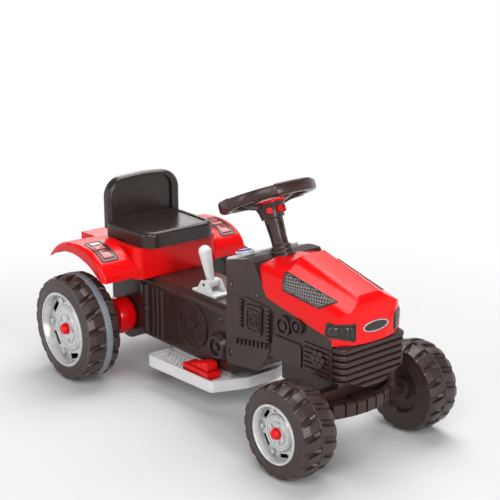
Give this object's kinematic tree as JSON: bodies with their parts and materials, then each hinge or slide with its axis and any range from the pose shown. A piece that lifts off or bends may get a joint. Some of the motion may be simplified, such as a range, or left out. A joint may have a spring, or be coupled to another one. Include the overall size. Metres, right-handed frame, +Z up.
{
  "type": "ride-on toy tractor",
  "caption": "Child ride-on tractor with steered front wheels, driven rear wheels, foot pedal, gear lever, low seat and a rear tow hitch",
  "frame": {"origin": "bottom centre of the overall box, on the ground", "axes": "+X forward, +Y to the rider's left, +Z up"},
  "size_m": [0.9104, 0.519, 0.5194],
  "materials": {
    "red_gloss": "glossy moulded",
    "black_brown": "satin moulded",
    "seat_black": "glossy blow moulded",
    "tyre_black": "satin blow moulded",
    "wheel_grey": "satin silver grey",
    "band_grey": "knurled soft rubber",
    "board_grey": "satin light grey",
    "lever_grey": "satin grey",
    "lamp_smoke": "smoked clear",
    "mesh_dark": "perforated",
    "inlay": "printed film",
    "button_blue": "glossy moulded",
    "steel": "zinc plated",
    "axle_black": "black coated",
    "bush": "natural",
    "drive_dark": "satin"
  },
  "bodies": {
    "chassis": {"battery": "drive_dark", "column_boot": "black_brown", "column_cover": "black_brown", "dash_panel": "board_grey", "engine_shell_left": "black_brown", "engine_shell_right": "black_brown", "fender_body": "red_gloss", "fender_lamp_left": "inlay", "fender_lamp_right": "inlay", "footboard": "board_grey", "front_axle_beam": "black_brown", "front_weights": "black_brown", "gearbox": "drive_dark", "headlamp_left": "lamp_smoke", "headlamp_right": "lamp_smoke", "hood": "red_gloss", "hood_vent_left": "mesh_dark", "hood_vent_right": "mesh_dark", "hull_shell_left": "black_brown", "hull_shell_right": "black_brown", "lever_bracket": "lever_grey", "lever_pin": "steel", "motor": "steel", "pedal_base": "red_gloss", "pedal_pin": "steel", "radiator_grille": "black_brown", "rear_axle": "steel", "rear_axle_nuts": "steel", "seat": "seat_black", "shell_screws": "steel", "steering_bushes": "bush", "tow_hitch": "black_brown"},
    "steering": {"steering_wheel": "black_brown", "steering_hub_cover": "black_brown", "steering_shaft": "steel"},
    "sound_button_1": {"sound_button_1": "red_gloss"},
    "sound_button_2": {"sound_button_2": "red_gloss"},
    "sound_button_3": {"sound_button_3": "red_gloss"},
    "start_button": {"start_button": "button_blue"},
    "knuckle_right": {"knuckle_right": "axle_black"},
    "knuckle_left": {"knuckle_left": "axle_black"},
    "tie_rod": {"tie_rod": "axle_black"},
    "pedal": {"pedal_treadle": "red_gloss"},
    "gear_lever": {"gear_lever": "lever_grey"},
    "front_wheel_right": {"front_tyre_right": "tyre_black", "front_rim_right": "wheel_grey", "front_cap_right": "red_gloss"},
    "rear_wheel_right": {"rear_tyre_right": "tyre_black", "rear_rim_right": "wheel_grey", "rear_cap_right": "red_gloss", "rear_band_right": "band_grey", "drive_drum_right": "red_gloss"},
    "front_wheel_left": {"front_tyre_left": "tyre_black", "front_rim_left": "wheel_grey", "front_cap_left": "red_gloss"},
    "rear_wheel_left": {"rear_tyre_left": "tyre_black", "rear_rim_left": "wheel_grey", "rear_cap_left": "red_gloss", "rear_band_left": "band_grey", "drive_drum_left": "red_gloss"}
  },
  "joints": [
    {"name": "steering_turn", "type": "hinge", "parent": "chassis", "child": "steering", "pos_m": [0.09575, 0, 0.473], "axis": [-0.4067, 0, 0.9135], "range_deg": [-35, 35]},
    {"name": "knuckle_right_turn", "type": "hinge", "parent": "chassis", "child": "knuckle_right", "pos_m": [0.36075, -0.104, 0.13], "axis": [0, 0, 1], "range_deg": [-21, 21]},
    {"name": "knuckle_left_turn", "type": "hinge", "parent": "chassis", "child": "knuckle_left", "pos_m": [0.36075, 0.104, 0.13], "axis": [0, 0, 1], "range_deg": [-21, 21]},
    {"name": "tie_rod_turn", "type": "hinge", "parent": "knuckle_right", "child": "tie_rod", "pos_m": [0.30075, -0.104, 0.1074], "axis": [0, 0, 1], "range_deg": [-21, 21]},
    {"name": "front_wheel_right_spin", "type": "hinge", "parent": "knuckle_right", "child": "front_wheel_right", "pos_m": [0.36075, -0.17, 0.0945], "axis": [0, 1, 0], "continuous": true},
    {"name": "rear_wheel_right_spin", "type": "hinge", "parent": "chassis", "child": "rear_wheel_right", "pos_m": [-0.31925, -0.217, 0.124], "axis": [0, 1, 0], "continuous": true},
    {"name": "front_wheel_left_spin", "type": "hinge", "parent": "knuckle_left", "child": "front_wheel_left", "pos_m": [0.36075, 0.17, 0.0945], "axis": [0, 1, 0], "continuous": true},
    {"name": "rear_wheel_left_spin", "type": "hinge", "parent": "chassis", "child": "rear_wheel_left", "pos_m": [-0.31925, 0.217, 0.124], "axis": [0, 1, 0], "continuous": true},
    {"name": "pedal_press", "type": "hinge", "parent": "chassis", "child": "pedal", "pos_m": [-0.04125, -0.097, 0.082], "axis": [0, 1, 0], "range_deg": [0, 8], "stiffness_Nm_per_rad": 1.2, "springref_deg": -8.59},
    {"name": "gear_lever_shift", "type": "hinge", "parent": "chassis", "child": "gear_lever", "pos_m": [-0.04425, -0.04, 0.258], "axis": [0, 1, 0], "range_deg": [-12, 12]},
    {"name": "start_button_press", "type": "slide", "parent": "chassis", "child": "start_button", "axis": [0.2628, 0, -0.9648], "range_m": [0, 0.003], "stiffness_N_per_m": 300, "springref_m": -0.002},
    {"name": "sound_button_1_press", "type": "slide", "parent": "steering", "child": "sound_button_1", "axis": [-0.646, 0.7071, -0.2876], "range_m": [0, 0.002], "stiffness_N_per_m": 300, "springref_m": -0.002},
    {"name": "sound_button_2_press", "type": "slide", "parent": "steering", "child": "sound_button_2", "axis": [-0.9135, 0, -0.4067], "range_m": [0, 0.002], "stiffness_N_per_m": 300, "springref_m": -0.002},
    {"name": "sound_button_3_press", "type": "slide", "parent": "steering", "child": "sound_button_3", "axis": [-0.646, -0.7071, -0.2876], "range_m": [0, 0.002], "stiffness_N_per_m": 300, "springref_m": -0.002}
  ],
  "couplings": [
    {"joint": "knuckle_right_turn", "follows": "steering_turn", "ratio": 0.6},
    {"joint": "knuckle_left_turn", "follows": "steering_turn", "ratio": 0.6},
    {"joint": "tie_rod_turn", "follows": "steering_turn", "ratio": -0.6}
  ]
}
